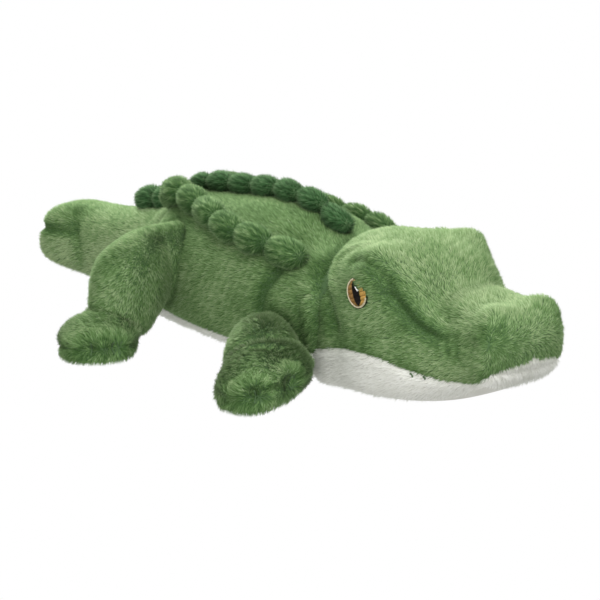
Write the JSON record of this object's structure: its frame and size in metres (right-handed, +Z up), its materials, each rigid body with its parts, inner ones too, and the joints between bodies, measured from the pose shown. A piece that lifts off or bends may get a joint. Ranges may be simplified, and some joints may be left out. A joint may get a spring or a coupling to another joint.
{
  "type": "plush crocodile",
  "caption": "Stuffed plush crocodile lying on its belly, with rows of tufts down the back, embroidered eyes and soft legs, head and tail that give.",
  "frame": {"origin": "on the floor under the middle of the belly", "axes": "+X towards the snout, +Y to the crocodile's left side, +Z up"},
  "size_m": [0.372, 0.229, 0.0885],
  "materials": {
    "green_plush": "short-pile plush, matt",
    "dark_green_plush": "short-pile plush, matt",
    "pale_green_plush": "short-pile plush, matt",
    "white_plush": "short-pile plush, matt",
    "fibre_filling": "loose fibre",
    "bead_cloth": "woven pouch of plastic beads",
    "cream_thread": "satin-stitch embroidery",
    "gold_thread": "satin-stitch embroidery",
    "black_thread": "satin-stitch embroidery"
  },
  "bodies": {
    "torso": {"torso_back_skin": "green_plush", "torso_belly_skin": "white_plush", "torso_filling": "fibre_filling", "bean_pouch": "bead_cloth", "scute_row_centre": "dark_green_plush", "scute_row_right": "pale_green_plush", "scute_row_left": "pale_green_plush"},
    "head": {"head_skin": "green_plush", "jaw_skin": "white_plush", "head_filling": "fibre_filling", "eye_border_right": "cream_thread", "eye_iris_right": "gold_thread", "eye_pupil_right": "black_thread", "eye_border_left": "cream_thread", "eye_iris_left": "gold_thread", "eye_pupil_left": "black_thread"},
    "tail": {"tail_skin": "green_plush", "tail_filling": "fibre_filling", "tail_scutes": "dark_green_plush"},
    "front_leg_right": {"front_leg_skin_right": "green_plush", "front_leg_filling_right": "fibre_filling", "front_sole_right": "green_plush"},
    "front_leg_left": {"front_leg_skin_left": "green_plush", "front_leg_filling_left": "fibre_filling", "front_sole_left": "green_plush"},
    "hind_leg_right": {"hind_leg_skin_right": "green_plush", "hind_leg_filling_right": "fibre_filling", "hind_sole_right": "green_plush"},
    "hind_leg_left": {"hind_leg_skin_left": "green_plush", "hind_leg_filling_left": "fibre_filling", "hind_sole_left": "green_plush"}
  },
  "joints": [
    {"name": "head_turn", "type": "hinge", "parent": "torso", "child": "head", "pos_m": [0.084, 0, 0], "axis": [0, 0, 1], "range_deg": [-12, 12]},
    {"name": "tail_sway", "type": "hinge", "parent": "torso", "child": "tail", "pos_m": [-0.088, 0, 0], "axis": [0, 0, 1], "range_deg": [-20, 20]},
    {"name": "front_leg_swing_right", "type": "hinge", "parent": "torso", "child": "front_leg_right", "pos_m": [0.046, -0.049, 0], "axis": [0, 0, 1], "range_deg": [-30, 8]},
    {"name": "front_leg_swing_left", "type": "hinge", "parent": "torso", "child": "front_leg_left", "pos_m": [0.046, 0.049, 0], "axis": [0, 0, -1], "range_deg": [-30, 8]},
    {"name": "hind_leg_swing_right", "type": "hinge", "parent": "torso", "child": "hind_leg_right", "pos_m": [-0.045, -0.0485, 0], "axis": [0, 0, 1], "range_deg": [-20, 25]},
    {"name": "hind_leg_swing_left", "type": "hinge", "parent": "torso", "child": "hind_leg_left", "pos_m": [-0.045, 0.0485, 0], "axis": [0, 0, -1], "range_deg": [-20, 25]}
  ]
}
